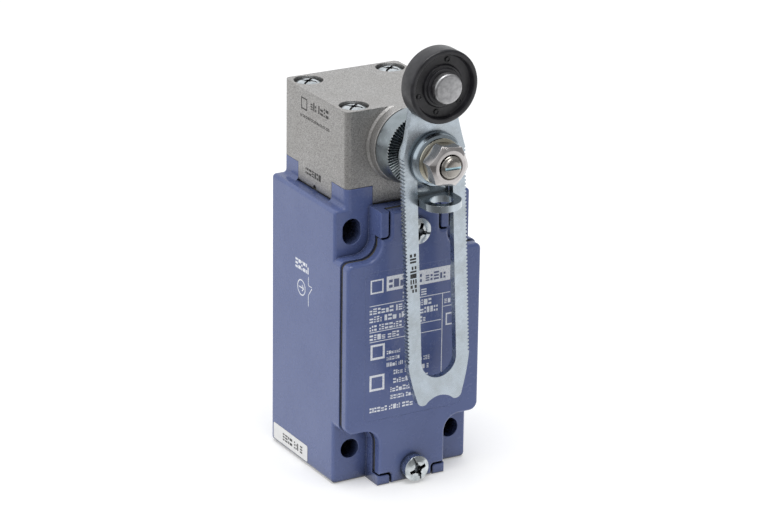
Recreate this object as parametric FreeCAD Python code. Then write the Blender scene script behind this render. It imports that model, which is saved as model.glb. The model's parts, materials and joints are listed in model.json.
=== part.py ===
import FreeCAD, Part
import math
import os

# Limit switch with an adjustable roller lever.
# Millimetres. +X is right, -Y is the cover and lever side, +Z is up towards the head.
# The origin is in the middle of the 30 x 60 fixing pattern, on the flat back face (y = 0).

V = FreeCAD.Vector

# ---- Driving dimensions ---------------------------------------------------------------

# Fixing pattern
FIX_X = 15.0            # half spacing of the fixing holes
FIX_Z = 30.0
FIX_R = 2.65
FIX_SLOT = 7.0          # end-to-end length of the upper slots

# Casing
BODY_X = 20.0           # half width
FOOT_Z = -39.3          # underside
LEDGE_Z = 36.2          # top, under the head
POST_Z = 41.3           # top of the four corner posts
POST_FOOT_R = 1.2       # fillet where the posts stand on the ledge
PAD_Y = -34.1           # front of the corner pads
RIM_Y = -37.2           # front of the rim that carries the gasket
LUG_Y = -40.5           # front of the lugs beside the cover's tongues
PANEL_LOW = -23.6       # lower and upper edge of the wide middle part
PANEL_HIGH = 23.6
TOWER_X = 10.0          # half width of the narrow parts above and below it
NOTCH_R = 4.5           # rounding where narrow meets wide
LUG_LOW_X = 6.4         # inner faces of the lower and upper lugs
LUG_HIGH_X = 7.6
LUG_LOW_Z = -36.6       # ends of the lugs towards the middle
LUG_HIGH_Z = 29.3
WALL_Y = -4.5           # inside of the back wall
CAVITY_X = 16.5
CAVITY_Z = 21.0
NECK_R = 6.5            # bore from the cavity up to the head
ENTRY_R = 9.19          # core radius of the M20 x 1.5 cable entry
ENTRY_DEPTH = 9.0

# Cover and its screws
GASKET_T = 1.0
COVER_T = 2.6
COVER_BACK = RIM_Y - GASKET_T
COVER_FRONT = COVER_BACK - COVER_T
LABEL_X = 14.5          # shallow label panel in the cover's face
LABEL_Z = 20.5
LABEL_SINK = 0.06
COVER_SCREW_HIGH = 30.3
COVER_SCREW_LOW = -35.2
M4_R = 2.0
THREAD_GAP = 0.02       # radial gap between a screw and its thread

# Head
HEAD_Y = -17.35         # centre of the square head
HEAD_HALF = 16.65
HEAD_LOW = 36.7
HEAD_TOP = 62.0
HEAD_WALL = 3.0
HEAD_ROOM = 7.4         # half width of the room inside
POST_IN = 9.0           # inner faces of the posts, from the head's centre
FIT = 0.1               # gap between parts that drop into each other
HEAD_SCREW = 12.1       # head screws, from the head's centre along X and Y
RECESS_R = 3.9
RECESS_FLOOR = 58.1
BOSS_FRONT = -37.3
BOSS_R = 10.35

# Shaft and what turns with it
SHAFT_Z = 52.1          # shaft axis, along Y
SHAFT_R = 5.0
CAM_SEAT_R = 4.0
STUD_R = 3.0            # M6, also the rear journal
RUNNING = 0.05          # radial gap of a part that turns
LEAN = 2.45             # the lever leans this many degrees to the left at rest
HUB_BACK = -37.6
HUB_FRONT = -42.5
HUB_R = 9.3             # at the front; it widens to the back
HUB_BACK_R = 10.2
TEETH = 72
TOOTH_DEPTH = 0.6
RING_BACK = -23.3       # retaining ring's groove
RING_FRONT = -24.3
CAM_FRONT = -20.0
CAM_BACK = -11.5
CAM_R = 6.5
SEAT_BACK = -10.5       # where the cam's seat steps down to the rear journal
CAM_PIN_Y = -15.5
CAM_PIN_R = 1.0

# Clamp stack on the stud, from back to front
BRACKET_BACK = -45.6
BRACKET_FRONT = -47.6
LEVER_BACK = -47.65
LEVER_FRONT = -49.6
DISH_FRONT = -52.0
CONE_FRONT = -52.8
NUT_FRONT = -57.7
STUD_FRONT = -59.0
NUT_FLATS = 10.0
TAB_TOP = -10.1         # guide tab, from the shaft axis
TAB_T = 1.8
TAB_HALF = 5.0
TAB_HOLE_R = 3.1

# Lever
LEVER_X = 9.0           # half width
SLOT_X = 5.15           # half width of its slot
SLOT_LOW = -59.8        # ends of the slot, from the shaft axis
SLOT_HIGH = 5.3
EDGE_LOW = -54.8        # ends of the serrated edges
EDGE_HIGH = 1.2
EDGE_PITCH = 1.0
EDGE_DEPTH = 0.4

# Roller
ROLLER_Z = 20.4         # above the shaft axis
ROLLER_R = 9.6
ROLLER_BACK = -50.1
ROLLER_FRONT = -55.5
AXLE_R = 2.5
AXLE_HEAD_R = 3.95
AXLE_FRONT = -57.6

# Follower, under the cam
STEM_Y = HEAD_Y         # axis of the follower and of the contact carrier
FOLLOWER_TOP = 45.4
FOLLOWER_FOOT = 29.95
FOLLOWER_R = 3.0
GUIDE_TOP = 39.5
GUIDE_FOOT = 31.0
SPRING_SEAT = 33.0
STROKE = 3.0            # travel of the follower and of the contact carrier

# Contact block
BLOCK_Z = 3.0           # middle of the block
BLOCK_HALF_Z = 16.0
BLOCK_FRONT = -13.4     # front of the base
CAP_FRONT = -22.9
CAP_X = 10.3
CARRIER_HALF = 3.8      # half depth of the carrier, along Y
CARRIER_FOOT = BLOCK_Z - 9
BRIDGE_HALF = 1.65
TERMINAL_X = 13.5
TERMINAL_RISE = 9.0     # terminals above and below the block's middle
CONTACT_RISE = 5.0      # contact faces above and below the block's middle
PLATE_T = 1.0
CLAMP_T = 1.2
M35_R = 1.7
EARTH_X = -11.5
EARTH_Z = -16.9
EARTH_Y = -11.5


# ---- Small helpers --------------------------------------------------------------------

def box(x, y, z):
    low = V(min(x), min(y), min(z))
    return Part.makeBox(max(x) - low.x, max(y) - low.y, max(z) - low.z, low)


def rod_x(radius, half, y, z=0.0):
    return Part.makeCylinder(radius, 2 * half, V(-half, y, z), V(1, 0, 0))


def rod_y(radius, y_from, y_to, x=0.0, z=0.0):
    start = min(y_from, y_to)
    return Part.makeCylinder(radius, abs(y_to - y_from), V(x, start, z), V(0, 1, 0))


def rod_z(radius, z_from, z_to, x=0.0, y=0.0):
    start = min(z_from, z_to)
    return Part.makeCylinder(radius, abs(z_to - z_from), V(x, y, start))


def turned(profile, x=0.0, z=0.0):
    """A part turned about an axis along Y through (x, z), from its (radius, y) profile."""
    points = [V(radius, y, 0) for radius, y in profile]
    face = Part.Face(Part.makePolygon(points + [points[0]]))
    solid = face.revolve(V(0, 0, 0), V(0, 1, 0), 360)
    solid.translate(V(x, 0, z))
    return solid


def turned_z(profile, x=0.0, y=0.0):
    """A part turned about an axis along Z through (x, y), from its (radius, z) profile."""
    points = [V(radius, 0, z) for radius, z in profile]
    face = Part.Face(Part.makePolygon(points + [points[0]]))
    solid = face.revolve(V(0, 0, 0), V(0, 0, 1), 360)
    solid.translate(V(x, y, 0))
    return solid


def fuse(shapes):
    return shapes[0].multiFuse(shapes[1:]).removeSplitter()


def both_sides(make):
    return [make(side) for side in (-1, 1)]


def edges_at(shape, x=None, y=None, z=None):
    """The edges that lie wholly at the given |x|, y and z."""
    found = []
    for edge in shape.Edges:
        b = edge.BoundBox
        spans = ((x, abs(b.XMin), abs(b.XMax), b.XMin * b.XMax >= 0),
                 (y, b.YMin, b.YMax, True),
                 (z, b.ZMin, b.ZMax, True))
        if all(want is None or (ok and abs(a - want) < 0.02 and abs(c - want) < 0.02)
               for want, a, c, ok in spans):
            found.append(edge)
    return found


def rounded(shape, radius, **place):
    return shape.makeFillet(radius, edges_at(shape, **place))


def rounded_plate(half_x, half_z, radius, y_from, y_to):
    plate = box((-half_x, half_x), (y_from, y_to), (-half_z, half_z))
    plate = rounded(plate, radius, x=half_x, z=-half_z)
    return rounded(plate, radius, x=half_x, z=half_z)


def coil(radius, wire, z_low, z_high, turns):
    """A compression spring about the stem axis, its wire drawn with eight flats."""
    height = z_high - z_low - 2 * wire
    path = Part.makeHelix(height / turns, height, radius)
    corners = [V(radius + wire * math.cos(k * math.pi / 4), 0, wire * math.sin(k * math.pi / 4))
               for k in range(8)]
    section = Part.makePolygon(corners + [corners[0]])
    spring = Part.Wire(path).makePipeShell([section], True, True)
    spring.translate(V(0, STEM_Y, z_low + wire))
    return spring


def at_shaft(shape):
    """Puts a shape drawn about the origin on the shaft axis, leaning as the lever does."""
    shape.rotate(V(0, 0, 0), V(0, 1, 0), -LEAN)
    shape.translate(V(0, 0, SHAFT_Z))
    return shape


# ---- Casing, cover and their screws -----------------------------------------------------

def cross_outline(grow, y_from, y_to, z_low, z_high):
    """The wide panel with the narrow tower above and below it, enlarged by grow."""
    y = (y_from, y_to)
    panel = box((-BODY_X - grow, BODY_X + grow), y, (PANEL_LOW - grow, PANEL_HIGH + grow))
    tower = box((-TOWER_X - grow, TOWER_X + grow), y, (z_low, z_high))
    shape = fuse([panel, tower])
    for z in (PANEL_LOW - grow, PANEL_HIGH + grow):
        shape = rounded(shape, NOTCH_R, x=TOWER_X + grow, z=z)
    shape = rounded(shape, 2.4, x=BODY_X + grow, z=PANEL_LOW - grow)
    return rounded(shape, 1.6, x=BODY_X + grow, z=PANEL_HIGH + grow)


def corner_posts():
    """Four posts that stand in the head's corner notches and take the head screws."""
    posts = []
    for sx in (-1, 1):
        for sy in (-1, 1):
            y_far = HEAD_Y + sy * (HEAD_HALF + FIT)
            post = box((sx * POST_IN, sx * HEAD_HALF), (HEAD_Y + sy * POST_IN, y_far),
                       (LEDGE_Z - 1, POST_Z))
            posts.append(rounded(post, 1.5, x=HEAD_HALF, y=y_far))
    return posts


def head_screw_places():
    return [(sx * HEAD_SCREW, HEAD_Y + sy * HEAD_SCREW) for sx in (-1, 1) for sy in (-1, 1)]


def lugs():
    """Blocks beside the cover's tongues, rounded where the cover turns round them."""
    shapes = []
    for side in (-1, 1):
        high = box((side * LUG_HIGH_X, side * TOWER_X), (LUG_Y, RIM_Y), (LUG_HIGH_Z, LEDGE_Z))
        low = box((side * LUG_LOW_X, side * TOWER_X), (LUG_Y, RIM_Y), (FOOT_Z, LUG_LOW_Z))
        shapes.append(rounded(high, 0.8, x=LUG_HIGH_X, z=LUG_HIGH_Z))
        shapes.append(rounded(low, 0.8, x=LUG_LOW_X, z=LUG_LOW_Z))
    return [rounded(lug, 0.4, y=LUG_Y) for lug in shapes]


def fixing_slot(side):
    half = FIX_SLOT / 2 - FIX_R
    x = side * FIX_X
    ends = [rod_y(FIX_R, PAD_Y, 0, x, FIX_Z + end * half) for end in (-1, 1)]
    middle = box((x - FIX_R, x + FIX_R), (PAD_Y, 0), (FIX_Z - half, FIX_Z + half))
    return fuse(ends + [middle])


def cable_entry():
    chamfer = 0.81
    mouth = turned_z([(0, FOOT_Z), (ENTRY_R + chamfer, FOOT_Z), (ENTRY_R, FOOT_Z + chamfer),
                      (0, FOOT_Z + chamfer)], 0, STEM_Y)
    thread = rod_z(ENTRY_R, FOOT_Z, FOOT_Z + ENTRY_DEPTH, 0, STEM_Y)
    passage = rod_z(ENTRY_R - 1.2, FOOT_Z, -CAVITY_Z, 0, STEM_Y)
    return [mouth, thread, passage]


def body_casing():
    slab = box((-BODY_X, BODY_X), (PAD_Y, 0), (FOOT_Z, LEDGE_Z))
    slab = rounded(slab, 1.2, x=BODY_X, z=FOOT_Z)
    slab = rounded(slab, 1.0, x=BODY_X, z=LEDGE_Z)
    slab = rounded(slab, 0.8, x=BODY_X, y=PAD_Y)
    slab = rounded(slab, 0.8, x=BODY_X, y=0)
    rim = cross_outline(0, RIM_Y, PAD_Y + 1, FOOT_Z, LEDGE_Z)
    shell = fuse([slab, rim] + lugs() + corner_posts())
    shell = rounded(shell, POST_FOOT_R, x=HEAD_HALF, z=LEDGE_Z)

    room = rounded_plate(CAVITY_X, CAVITY_Z, 3.0, RIM_Y, WALL_Y)
    neck = rod_z(NECK_R, 0, LEDGE_Z, 0, STEM_Y)
    shell = shell.cut([room, neck] + cable_entry())
    shell = shell.fuse(rod_y(3.6, EARTH_Y, WALL_Y + 1, EARTH_X, EARTH_Z))

    holes = both_sides(lambda side: rod_y(FIX_R, PAD_Y, 0, side * FIX_X, -FIX_Z))
    holes += both_sides(fixing_slot)
    thread = M4_R + THREAD_GAP
    holes += [rod_y(thread, RIM_Y, -29.2, 0, z) for z in (COVER_SCREW_HIGH, COVER_SCREW_LOW)]
    holes += [rod_z(thread, LEDGE_Z - 1.6, POST_Z, x, y) for x, y in head_screw_places()]
    holes += both_sides(lambda side: rod_y(1.5 + THREAD_GAP, WALL_Y, -1.3,
                                           side * TERMINAL_X, BLOCK_Z))
    holes.append(rod_y(M35_R + THREAD_GAP, EARTH_Y, -3, EARTH_X, EARTH_Z))
    return shell.cut(holes).removeSplitter()


def cover_plate(inset, y_from, y_to):
    """The cover's outline: panel, necks and the two tongues between the lugs."""
    gap = 0.1 + inset
    y = (y_from, y_to)
    plate = cross_outline(-inset, y_from, y_to, LUG_LOW_Z + gap, LUG_HIGH_Z - gap)
    low_x, high_x = LUG_LOW_X - gap, LUG_HIGH_X - gap
    low = box((-low_x, low_x), y, (FOOT_Z + 0.1, PANEL_LOW))
    high = box((-high_x, high_x), y, (PANEL_HIGH, LEDGE_Z - 0.1))
    plate = fuse([plate, low, high])
    plate = rounded(plate, 0.9, x=low_x, z=LUG_LOW_Z + gap)
    return rounded(plate, 0.9, x=high_x, z=LUG_HIGH_Z - gap)


def cover_screw_holes(y_from, y_to):
    return [rod_y(M4_R + 0.25, y_from, y_to, 0, z) for z in (COVER_SCREW_HIGH, COVER_SCREW_LOW)]


def front_cover():
    plate = cover_plate(0.3, COVER_FRONT, COVER_BACK)
    plate = rounded(plate, 0.8, y=COVER_FRONT)
    label_panel = rounded_plate(LABEL_X, LABEL_Z, 1.5, COVER_FRONT, COVER_FRONT + LABEL_SINK)
    pocket = rounded_plate(14.0, 18.0, 2.0, COVER_BACK - 0.8, COVER_BACK)
    return plate.cut([label_panel, pocket] + cover_screw_holes(COVER_FRONT, COVER_BACK))


def cover_gasket():
    sheet = cover_plate(0.5, COVER_BACK, RIM_Y)
    window = rounded_plate(CAVITY_X, CAVITY_Z, 3.0, COVER_BACK, RIM_Y)
    return sheet.cut([window] + cover_screw_holes(COVER_BACK, RIM_Y))


def drive_recess(arm, width, depth, slot_half, slot_depth):
    """Cross recess with a slot along one arm, cut down from z = 0 about the origin."""
    half = width / 2
    return [box((-arm, arm), (-half, half), (-depth, 0)),
            box((-half, half), (-arm, arm), (-depth, 0)),
            box((-slot_half, slot_half), (-half, half), (-slot_depth, 0))]


def machine_screw(head_r, head_t, shank_r, reach, turn):
    """A cheese-head screw seated at z = 0, shank downwards, its slot turned from X."""
    edge = 0.12 * head_r
    head = turned_z([(0, 0), (head_r, 0), (head_r, head_t - edge), (head_r - edge, head_t),
                     (0, head_t)])
    screw = fuse([head, rod_z(shank_r, -reach, 0)])
    arm, width = 0.56 * head_r, 0.2 * head_r
    cuts = drive_recess(arm, width, 0.45 * head_t + 0.3, head_r, 0.2 * head_t + 0.1)
    for cut in cuts:
        cut.rotate(V(0, 0, 0), V(0, 0, 1), turn)
        cut.translate(V(0, 0, head_t))
    return screw.cut(cuts)


def front_screw(x, z, seat_y, head_r, head_t, shank_r, tip_y, turn=45):
    """A machine screw driven along +Y, its head's underside at seat_y."""
    screw = machine_screw(head_r, head_t, shank_r, tip_y - seat_y, turn)
    screw.rotate(V(0, 0, 0), V(1, 0, 0), 90)
    screw.translate(V(x, seat_y, z))
    return screw


def cover_screws():
    tip = -30.2
    return [front_screw(0, COVER_SCREW_HIGH, COVER_FRONT, 3.5, 2.3, M4_R, tip, -17),
            front_screw(0, COVER_SCREW_LOW, COVER_FRONT, 3.5, 3.3, M4_R, tip, -70)]


def side_label():
    """Sticker at the foot of the left side."""
    y_far, y_near, z_low, z_high = -20.4, -1.4, -38.2, -33.7
    label = box((-BODY_X - 0.1, -BODY_X), (y_far, y_near), (z_low, z_high))
    for y in (y_far, y_near):
        for z in (z_low, z_high):
            label = rounded(label, 0.5, y=y, z=z)
    return label


# ---- Head ---------------------------------------------------------------------------------

def head_casing():
    y_front, y_back = HEAD_Y - HEAD_HALF, HEAD_Y + HEAD_HALF
    block = box((-HEAD_HALF, HEAD_HALF), (y_front, y_back), (HEAD_LOW, HEAD_TOP))
    for y in (y_front, y_back):
        block = rounded(block, 1.4, x=HEAD_HALF, y=y)
    boss = turned([(0, y_front + 1), (BOSS_R + 0.5, y_front + 1), (BOSS_R + 0.5, y_front),
                   (BOSS_R, y_front - 0.5), (BOSS_R, BOSS_FRONT + 0.15),
                   (BOSS_R - 0.15, BOSS_FRONT), (0, BOSS_FRONT)], 0, SHAFT_Z)
    limits = box((-BODY_X, BODY_X), (BOSS_FRONT, 0), (HEAD_LOW, HEAD_TOP))
    shape = fuse([block, boss.common(limits)])

    cuts = []
    near, far = POST_IN - FIT, HEAD_HALF + 1
    for sx in (-1, 1):
        for sy in (-1, 1):
            cuts.append(box((sx * near, sx * far), (HEAD_Y + sy * near, HEAD_Y + sy * far),
                            (HEAD_LOW, POST_Z + FIT)))
        pry_notch = Part.makeCylinder(0.9, 1.5, V(sx * (HEAD_HALF + 0.5), HEAD_Y, HEAD_LOW),
                                      V(-sx, 0, 0))
        cuts.append(pry_notch)
    cuts.append(box((-HEAD_ROOM, HEAD_ROOM), (HEAD_Y - HEAD_ROOM, HEAD_Y + HEAD_ROOM),
                    (HEAD_LOW, HEAD_TOP - HEAD_WALL)))
    cuts.append(rod_y(7.5, BOSS_FRONT, HEAD_Y, 0, SHAFT_Z))
    cuts.append(rod_y(STUD_R + RUNNING, HEAD_Y, -3.5, 0, SHAFT_Z))
    for x, y in head_screw_places():
        cuts.append(rod_z(RECESS_R, RECESS_FLOOR, HEAD_TOP, x, y))
        cuts.append(rod_z(M4_R + 0.2, POST_Z, RECESS_FLOOR, x, y))
    return shape.cut(cuts).removeSplitter()


def head_gasket():
    """Cross-shaped seal that passes between the posts."""
    arm, width = HEAD_HALF - 0.4, POST_IN - 0.3
    z = (LEDGE_Z, HEAD_LOW)
    cross = fuse([box((-arm, arm), (HEAD_Y - width, HEAD_Y + width), z),
                  box((-width, width), (HEAD_Y - arm, HEAD_Y + arm), z)])
    return cross.cut(rod_z(NECK_R, LEDGE_Z, HEAD_LOW, 0, STEM_Y))


def head_screws():
    screws = []
    for x, y in head_screw_places():
        screw = machine_screw(3.6, 3.7, M4_R, RECESS_FLOOR - LEDGE_Z + 1, 40)
        screw.translate(V(x, y, RECESS_FLOOR))
        screws.append(screw)
    return screws


def shaft_bush():
    inner, outer, y_front, y_back = SHAFT_R + RUNNING, 7.5, -34.4, RING_FRONT
    return turned([(inner, y_front), (outer, y_front), (outer, y_back), (inner, y_back)],
                  0, SHAFT_Z)


def shaft_seal():
    """O-ring in front of the bush, held in by the hub."""
    return Part.makeTorus(6.28, 1.2, V(0, -35.8, SHAFT_Z), V(0, 1, 0))


# ---- Shaft and the parts that turn with it ---------------------------------------------------

def cam_pin_hole():
    return rod_x(CAM_PIN_R, 10, CAM_PIN_Y)


def shaft():
    """Stud, hub seat, running journal, cam seat and rear journal, turned in one piece."""
    collar = HUB_FRONT - 0.6
    body = turned([(0, STUD_FRONT), (STUD_R - 0.6, STUD_FRONT), (STUD_R, STUD_FRONT + 0.6),
                   (STUD_R, collar), (CAM_SEAT_R, collar), (CAM_SEAT_R, HUB_BACK),
                   (SHAFT_R, HUB_BACK), (SHAFT_R, RING_BACK), (CAM_SEAT_R, RING_BACK),
                   (CAM_SEAT_R, SEAT_BACK), (STUD_R, SEAT_BACK), (STUD_R, -4), (0, -4)])
    groove = turned([(CAM_SEAT_R + 0.4, RING_FRONT), (SHAFT_R + 1, RING_FRONT),
                     (SHAFT_R + 1, RING_BACK), (CAM_SEAT_R + 0.4, RING_BACK)])
    slot = box((-4, 4), (STUD_FRONT, STUD_FRONT + 1), (-0.45, 0.45))
    slot.rotate(V(0, 0, 0), V(0, 1, 0), 4)
    return at_shaft(body.cut([groove, slot, cam_pin_hole()]))


def tooth_grooves():
    """Radial V grooves in the hub's front face; all of them run out towards the axis."""
    half = math.pi / TEETH
    reach = HUB_R * 1.1
    depth = TOOTH_DEPTH * reach / HUB_R
    apex = V(0, HUB_FRONT, 0)

    def rim_point(angle, sink):
        return V(reach * math.cos(angle), HUB_FRONT + sink, reach * math.sin(angle))

    grooves = []
    for k in range(TEETH):
        middle = 2 * half * k
        a, b = rim_point(middle - half, 0), rim_point(middle + half, 0)
        deep = rim_point(middle, depth)
        corners = [(apex, a, b), (apex, b, deep), (apex, deep, a), (a, deep, b)]
        faces = [Part.Face(Part.makePolygon([p, q, r, p])) for p, q, r in corners]
        grooves.append(Part.Solid(Part.Shell(faces)))
    return grooves


def serrated_hub():
    """Cup on the shaft, with a ring of face teeth that run out through its edge."""
    cup = turned([(CAM_SEAT_R, HUB_FRONT), (HUB_R, HUB_FRONT), (HUB_BACK_R, HUB_BACK - 0.1),
                  (HUB_BACK_R - 0.1, HUB_BACK), (CAM_SEAT_R, HUB_BACK)])
    return at_shaft(cup.cut(Part.Compound(tooth_grooves())))


def lever_bracket():
    """Clamp plate with a round hub against the face teeth and a tab bent through the slot."""
    tab_low = TAB_TOP - TAB_T
    tab_z = (tab_low, TAB_TOP)
    tab_y = DISH_FRONT - 0.8
    hub = rod_y(6.5, HUB_FRONT, BRACKET_BACK)
    disc = rod_y(8.2, BRACKET_FRONT, BRACKET_BACK)
    strip = box((-TAB_HALF, TAB_HALF), (BRACKET_FRONT, BRACKET_BACK), (tab_low, 0))
    tab = box((-TAB_HALF, TAB_HALF), (tab_y, BRACKET_BACK), tab_z)
    tab_end = rod_z(TAB_HALF, tab_low, TAB_TOP, 0, tab_y)
    shape = rounded(fuse([hub, disc, strip, tab, tab_end]), 1.2, y=BRACKET_BACK, z=tab_low)
    holes = [rod_y(STUD_R + RUNNING, HUB_FRONT, BRACKET_FRONT),
             rod_y(CAM_SEAT_R + FIT, HUB_FRONT, HUB_FRONT - 1),
             rod_z(TAB_HOLE_R, tab_low, TAB_TOP, 0, tab_y)]
    return at_shaft(shape.cut(holes))


def dish_washer():
    """Domed washer whose collar sits in the lever's slot."""
    bore, back = STUD_R + RUNNING, LEVER_FRONT - 0.02
    profile = [(bore, BRACKET_FRONT), (SLOT_X - FIT, BRACKET_FRONT), (SLOT_X - FIT, back),
               (7.14, back), (7.14, DISH_FRONT + 1.3), (6.9, DISH_FRONT + 0.6),
               (6.4, DISH_FRONT + 0.15), (5.8, DISH_FRONT), (bore, DISH_FRONT)]
    return at_shaft(turned(profile))


def cone_washer():
    bore = STUD_R + RUNNING
    profile = [(bore, DISH_FRONT), (5.8, DISH_FRONT), (6.0, DISH_FRONT - 0.2),
               (5.9, CONE_FRONT + 0.2), (5.2, CONE_FRONT), (bore, CONE_FRONT)]
    return at_shaft(turned(profile))


def clamp_nut():
    """Hexagon nut, chamfered in front and countersunk round the thread."""
    corner = NUT_FLATS / 2 / math.cos(math.pi / 6)
    points = [V(corner * math.cos(k * math.pi / 3), CONE_FRONT, corner * math.sin(k * math.pi / 3))
              for k in range(7)]
    prism = Part.Face(Part.makePolygon(points)).extrude(V(0, NUT_FRONT - CONE_FRONT, 0))
    envelope = turned([(0, CONE_FRONT), (corner, CONE_FRONT), (corner, NUT_FRONT + 0.9),
                       (corner - 1.3, NUT_FRONT), (0, NUT_FRONT)])
    bore = STUD_R + THREAD_GAP
    sink = turned([(0, NUT_FRONT), (bore + 0.35, NUT_FRONT), (bore, NUT_FRONT + 0.35),
                   (0, NUT_FRONT + 0.35)])
    nut = prism.common(envelope).cut([rod_y(bore, CONE_FRONT, NUT_FRONT), sink])
    nut.rotate(V(0, 0, 0), V(0, 1, 0), 12)
    return at_shaft(nut)


def drive_cam():
    """Round cam with a flat underneath, so that turning either way pushes down."""
    disc = rod_y(CAM_R, CAM_FRONT, CAM_BACK)
    flat = box((-CAM_R, CAM_R), (CAM_FRONT, CAM_BACK), (-CAM_R, -5.0))
    seat = rod_y(CAM_SEAT_R + THREAD_GAP, CAM_FRONT, CAM_BACK)
    return at_shaft(disc.cut([flat, seat, cam_pin_hole()]))


def cam_pin():
    return at_shaft(rod_x(CAM_PIN_R - 0.01, CAM_R - 0.3, CAM_PIN_Y))


def retaining_ring():
    """Open ring in the shaft's groove, behind the bush."""
    inner, outer, y_front = CAM_SEAT_R + 0.42, 6.6, RING_FRONT + RUNNING
    ring = turned([(inner, y_front), (outer, y_front), (outer, RING_BACK), (inner, RING_BACK)])
    return at_shaft(ring.cut(box((-1.5, 1.5), (y_front, RING_BACK), (-8, 0))))


# ---- Lever and roller -------------------------------------------------------------------------

def serrated_edge(side):
    """Corner points of one serrated edge, from the lowest tooth up."""
    root = side * (LEVER_X - EDGE_DEPTH)
    crest = side * LEVER_X
    count = round((EDGE_HIGH - EDGE_LOW) / EDGE_PITCH)
    points = []
    for k in range(count):
        z = EDGE_LOW + k * EDGE_PITCH
        points += [(crest, z), (crest, z + 0.35 * EDGE_PITCH), (root, z + 0.6 * EDGE_PITCH),
                   (root, z + 0.75 * EDGE_PITCH)]
    return points + [(crest, EDGE_HIGH)]


def lever_outline():
    """Closed outline: serrated sides, tapered top round the roller axle, forked foot."""
    def point(x, z):
        return V(x, LEVER_BACK, z)

    def line(a, b):
        return Part.makeLine(point(*a), point(*b))

    def arc(a, b, c):
        return Part.Arc(point(*a), point(*b), point(*c)).toShape()

    shoulder_x, shoulder_z = 5.75, ROLLER_Z - 1.2
    edges = [arc((shoulder_x, shoulder_z), (0, ROLLER_Z + 5.6), (-shoulder_x, shoulder_z)),
             arc((-3.7, -66.3), (0, -64.9), (3.7, -66.3))]
    for side in (-1, 1):
        teeth = serrated_edge(side)
        edges += [line(a, b) for a, b in zip(teeth, teeth[1:])]
        edges.append(arc((side * LEVER_X, EDGE_HIGH), (side * 7.2, 9.0),
                         (side * shoulder_x, shoulder_z)))
        edges.append(arc((side * LEVER_X, EDGE_LOW), (side * 8.05, -60.0), (side * 6.6, -65.2)))
        edges.append(arc((side * 6.6, -65.2), (side * 6.0, -66.4), (side * 4.8, -66.8)))
        edges.append(arc((side * 4.8, -66.8), (side * 4.2, -66.7), (side * 3.7, -66.3)))
    return Part.Wire(Part.__sortEdges__(edges))


def lever_plate():
    plate = Part.Face(lever_outline()).extrude(V(0, LEVER_FRONT - LEVER_BACK, 0))
    slot_low, slot_high = SLOT_LOW + SLOT_X, SLOT_HIGH - SLOT_X
    cuts = [rod_y(SLOT_X, LEVER_BACK, LEVER_FRONT, 0, z) for z in (slot_low, slot_high)]
    cuts.append(box((-SLOT_X, SLOT_X), (LEVER_BACK, LEVER_FRONT), (slot_low, slot_high)))
    cuts.append(rod_y(AXLE_R + THREAD_GAP, LEVER_BACK, LEVER_FRONT, 0, ROLLER_Z))
    return at_shaft(plate.cut(cuts))


def roller_axle():
    """Rivet: domed head in front of the roller, clenched tail behind the lever."""
    seat = ROLLER_FRONT - RUNNING
    profile = [(0, AXLE_FRONT), (AXLE_HEAD_R - 0.65, AXLE_FRONT),
               (AXLE_HEAD_R - 0.15, AXLE_FRONT + 0.4), (AXLE_HEAD_R, AXLE_FRONT + 0.9),
               (AXLE_HEAD_R, seat), (AXLE_R, seat), (AXLE_R, LEVER_BACK), (3.6, LEVER_BACK),
               (3.4, LEVER_BACK + 0.6), (2.6, LEVER_BACK + 0.9), (0, LEVER_BACK + 0.9)]
    return at_shaft(turned(profile, 0, ROLLER_Z))


def roller_washer():
    inner, outer, front = AXLE_R + THREAD_GAP, 4.2, ROLLER_BACK + RUNNING
    profile = [(inner, LEVER_FRONT), (outer, LEVER_FRONT), (outer, front), (inner, front)]
    return at_shaft(turned(profile, 0, ROLLER_Z))


def roller():
    """Roller with a sunk web between its rim and its hub."""
    web = ROLLER_FRONT + 0.9
    bore = AXLE_R + RUNNING
    profile = [(bore, ROLLER_BACK), (ROLLER_R - 0.4, ROLLER_BACK), (ROLLER_R, ROLLER_BACK - 0.4),
               (ROLLER_R, ROLLER_FRONT + 0.4), (ROLLER_R - 0.4, ROLLER_FRONT),
               (7.9, ROLLER_FRONT), (7.6, web), (5.1, web), (4.9, ROLLER_FRONT),
               (bore, ROLLER_FRONT)]
    return at_shaft(turned(profile, 0, ROLLER_Z))


# ---- Follower in the head ------------------------------------------------------------------------

def cam_follower():
    plate = box((-5, 5), (STEM_Y - 4.5, STEM_Y + 4.5), (FOLLOWER_TOP - 2, FOLLOWER_TOP))
    return fuse([plate, rod_z(FOLLOWER_R, FOLLOWER_FOOT, FOLLOWER_TOP - 1, 0, STEM_Y)])


def follower_guide():
    """Insert that closes the head's underside; its sleeve holds the spring and the stem."""
    half = HEAD_ROOM - FIT
    flange = box((-half, half), (HEAD_Y - half, HEAD_Y + half), (HEAD_LOW, GUIDE_TOP))
    sleeve = rod_z(NECK_R - FIT, GUIDE_FOOT, HEAD_LOW + 1, 0, STEM_Y)
    pocket = rod_z(5.0, SPRING_SEAT, GUIDE_TOP, 0, STEM_Y)
    bore = rod_z(FOLLOWER_R + RUNNING, GUIDE_FOOT, SPRING_SEAT, 0, STEM_Y)
    return fuse([flange, sleeve]).cut([pocket, bore])


def return_spring():
    return coil(4.0, 0.4, SPRING_SEAT, FOLLOWER_TOP - 2, 5.5)


# ---- Contact block -----------------------------------------------------------------------------------

def terminal_levels():
    return (BLOCK_Z + TERMINAL_RISE, BLOCK_Z - TERMINAL_RISE)


def terminal_places():
    return [(side * TERMINAL_X, z) for side in (-1, 1) for z in terminal_levels()]


def tongue_lows():
    """Underside of the upper tongues, which are touched from below, and of the lower ones."""
    return (BLOCK_Z + CONTACT_RISE, BLOCK_Z - CONTACT_RISE - PLATE_T)


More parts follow.
